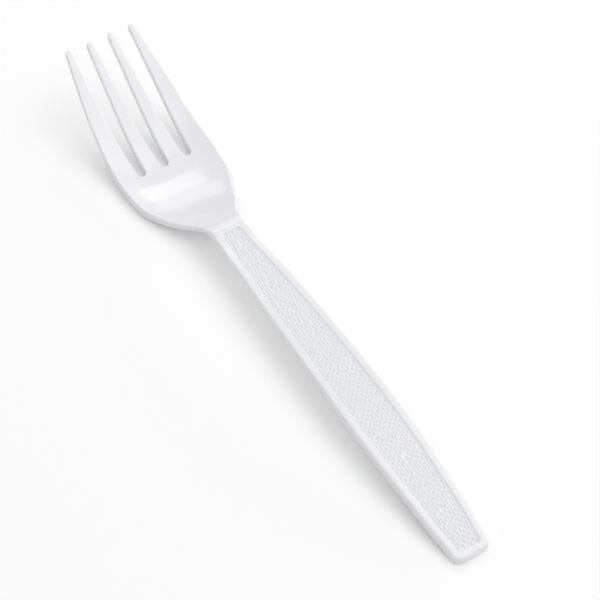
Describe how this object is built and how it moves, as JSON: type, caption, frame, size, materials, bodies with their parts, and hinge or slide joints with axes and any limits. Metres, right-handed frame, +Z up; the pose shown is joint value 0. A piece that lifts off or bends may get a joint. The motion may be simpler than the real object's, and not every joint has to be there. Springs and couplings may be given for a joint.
{
  "type": "disposable plastic fork",
  "caption": "Moulded disposable fork with tapered round-tipped tines, a shallow curved head, and a long arched handle with a recessed, bumpy grip panel.",
  "frame": {"origin": "on the table under the middle of the fork's length, centred on its width", "axes": "+Y along the length towards the tine tips, +X to the fork's right side, +Z up out of the bowl"},
  "size_m": [0.03, 0.1808, 0.0216],
  "materials": {
    "white_plastic": "white, soft gloss as moulded"
  },
  "bodies": {
    "root": {"fork": "white_plastic"}
  },
  "joints": []
}
